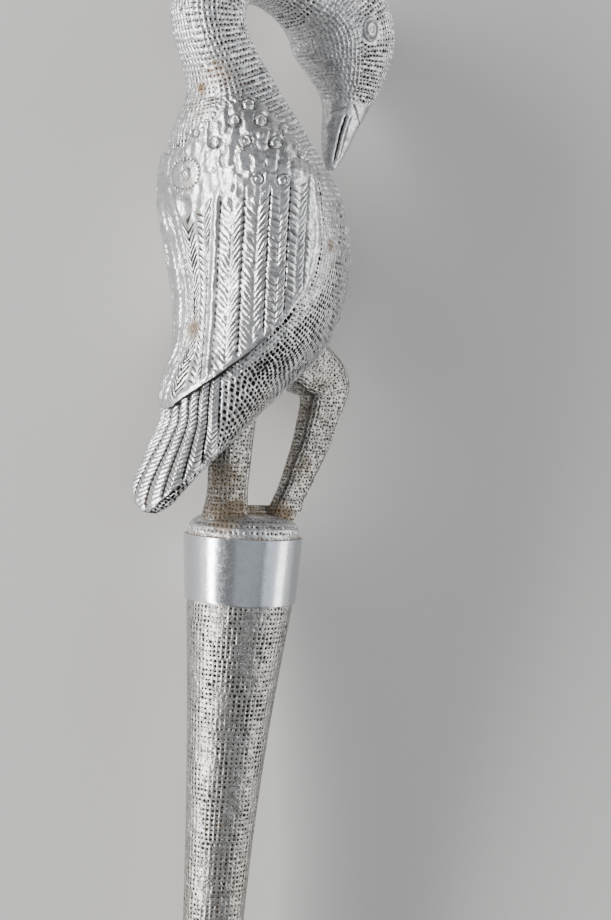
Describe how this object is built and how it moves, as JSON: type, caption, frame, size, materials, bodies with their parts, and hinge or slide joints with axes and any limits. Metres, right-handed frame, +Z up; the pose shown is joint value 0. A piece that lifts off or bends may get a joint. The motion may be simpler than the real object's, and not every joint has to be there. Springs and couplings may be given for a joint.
{
  "type": "ceremonial staff",
  "caption": "Ceremonial staff lying on its side: a tapered punched shaft and a smooth collar below a long-necked bird that stands on a domed pedestal.",
  "frame": {"origin": "centre of the bounding box in X and Y, at the floor that the staff lies on", "axes": "+Y along the staff from its foot to the bird, +X the way the bird's breast faces, +Z up while it lies on the bird's left side"},
  "size_m": [0.1064, 0.9968, 0.0813],
  "materials": {
    "punched_silver": "worn beaten silver sheet with punched dots and brown dirt in the hollows",
    "polished_silver": "worn polished silver sheet with fine scratches"
  },
  "bodies": {
    "root": {"bird": "punched_silver", "collar": "polished_silver", "shaft": "punched_silver"}
  },
  "joints": []
}
